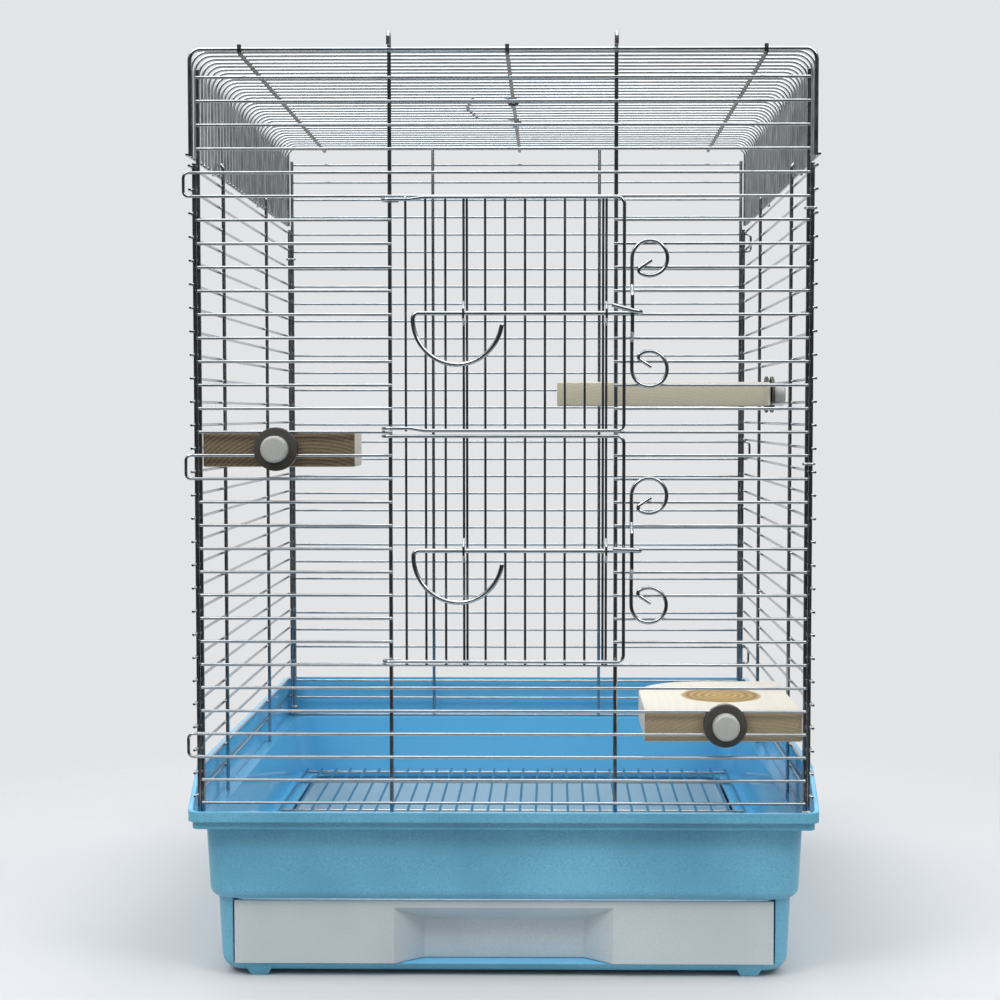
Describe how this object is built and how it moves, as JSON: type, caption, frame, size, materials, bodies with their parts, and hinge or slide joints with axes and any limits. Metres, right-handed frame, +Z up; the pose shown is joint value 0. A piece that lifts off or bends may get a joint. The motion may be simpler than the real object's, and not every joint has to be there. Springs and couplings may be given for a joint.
{
  "type": "small pet cage",
  "caption": "Wire cage for a small pet on a moulded blue base with a pull-out drawer, a raised floor grid, latched front doors and wooden ledges.",
  "frame": {"origin": "middle of the base's footprint, on the surface the feet stand on", "axes": "+Z up, front with the doors and drawer towards -Y, +X to the right seen from the front"},
  "size_m": [0.3776, 0.4243, 0.5546],
  "materials": {
    "base_plastic": "glossy",
    "drawer_plastic": "satin",
    "wire": "bright zinc plate",
    "wood": "sanded, unfinished",
    "washer_plastic": "matte",
    "cap_plastic": "satin",
    "bolt_steel": "zinc plate"
  },
  "bodies": {
    "cage": {"base_shell": "base_plastic", "floor_grid_rods": "wire", "floor_grid_cross_rods": "wire", "front_panel_cross_wires": "wire", "front_panel_snap_wires": "wire", "front_panel_corner_posts": "wire", "front_panel_door_posts": "wire", "back_panel_cross_wires": "wire", "back_panel_snap_wires": "wire", "back_panel_posts": "wire", "left_panel_cross_wires": "wire", "left_panel_posts": "wire", "right_panel_cross_wires": "wire", "right_panel_posts": "wire", "roof_arches": "wire", "roof_end_arches": "wire", "roof_side_rails": "wire", "roof_braces": "wire", "front_hinge_rings": "wire", "back_hinge_rings": "wire", "upper_keeper": "wire", "lower_keeper": "wire", "left_front_ledge": "wood", "right_front_ledge": "wood", "right_side_ledge": "wood", "ledge_inner_washers": "washer_plastic", "ledge_outer_washers": "washer_plastic", "ledge_bolts": "bolt_steel", "ledge_cap_nuts": "cap_plastic"},
    "drawer": {"drawer": "drawer_plastic"},
    "upper_door": {"upper_door_frame": "wire", "upper_door_bars": "wire", "upper_door_rod_guides": "wire"},
    "lower_door": {"lower_door_frame": "wire", "lower_door_bars": "wire", "lower_door_rod_guides": "wire"},
    "upper_latch": {"upper_latch": "wire"},
    "lower_latch": {"lower_latch": "wire"},
    "carry_handle": {"carry_handle": "wire"}
  },
  "joints": [
    {"name": "drawer_slide", "type": "slide", "parent": "cage", "child": "drawer", "axis": [0, -1, 0], "range_m": [0, 0.3]},
    {"name": "upper_door_hinge", "type": "hinge", "parent": "cage", "child": "upper_door", "pos_m": [-0.0655, -0.19873, 0.392], "axis": [0, 0, -1], "range_deg": [0, 140]},
    {"name": "lower_door_hinge", "type": "hinge", "parent": "cage", "child": "lower_door", "pos_m": [-0.0655, -0.19873, 0.256], "axis": [0, 0, -1], "range_deg": [0, 140]},
    {"name": "upper_latch_slide", "type": "slide", "parent": "upper_door", "child": "upper_latch", "axis": [1, 0, 0], "range_m": [0, 0.022]},
    {"name": "lower_latch_slide", "type": "slide", "parent": "lower_door", "child": "lower_latch", "axis": [1, 0, 0], "range_m": [0, 0.022]},
    {"name": "carry_handle_hinge", "type": "hinge", "parent": "cage", "child": "carry_handle", "pos_m": [0.0027, 0.0111, 0.54128], "axis": [0, 1, 0], "range_deg": [0, 160]}
  ]
}
